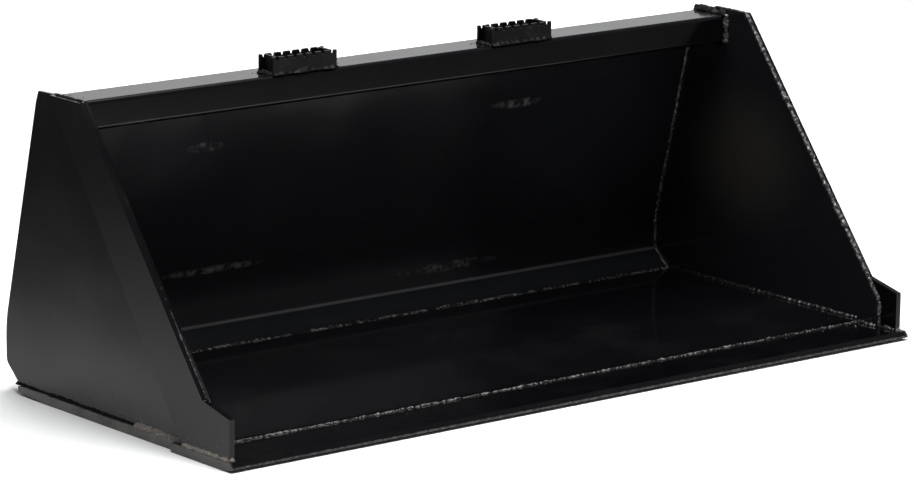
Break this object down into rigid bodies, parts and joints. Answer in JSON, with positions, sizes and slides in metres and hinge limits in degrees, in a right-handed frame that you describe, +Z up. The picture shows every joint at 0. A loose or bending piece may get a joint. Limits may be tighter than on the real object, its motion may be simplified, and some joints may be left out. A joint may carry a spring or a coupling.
{
  "type": "skid steer bucket",
  "caption": "Wide welded steel dirt bucket for a skid steer loader, with side cutters, a bevelled cutting edge, serrated steps and a quick-attach back.",
  "frame": {"origin": "centre of the bounding box in plan, on the surface that the bucket stands on", "axes": "+X along the cutting edge, -Y out of the mouth, +Y towards the loader, +Z up"},
  "size_m": [1.844, 0.8638, 0.6791],
  "materials": {
    "gloss_black_paint": "gloss",
    "cutting_edge_paint": "gloss",
    "worn_paint": "satin",
    "dusty_weld": "matte"
  },
  "bodies": {
    "root": {"floor_sheet": "gloss_black_paint", "back_sheet": "gloss_black_paint", "side_sheet_left": "gloss_black_paint", "side_sheet_right": "gloss_black_paint", "side_cutter_left": "gloss_black_paint", "side_cutter_right": "gloss_black_paint", "cutting_edge": "cutting_edge_paint", "top_tube": "gloss_black_paint", "step_left_front_bar": "gloss_black_paint", "step_left_rear_bar": "gloss_black_paint", "step_left_outer_end": "gloss_black_paint", "step_left_inner_end": "gloss_black_paint", "step_right_front_bar": "gloss_black_paint", "step_right_rear_bar": "gloss_black_paint", "step_right_outer_end": "gloss_black_paint", "step_right_inner_end": "gloss_black_paint", "wear_bar_left": "worn_paint", "wear_bar_mid_left": "worn_paint", "wear_bar_mid_right": "worn_paint", "wear_bar_right": "worn_paint", "mount_plate_left": "gloss_black_paint", "mount_plate_right": "gloss_black_paint", "hook_rail": "gloss_black_paint", "hook_end_left": "gloss_black_paint", "hook_end_right": "gloss_black_paint", "lock_rail": "gloss_black_paint", "ledge_gusset_left_outer": "gloss_black_paint", "ledge_gusset_left_inner": "gloss_black_paint", "ledge_gusset_right_inner": "gloss_black_paint", "ledge_gusset_right_outer": "gloss_black_paint"}
  },
  "joints": []
}
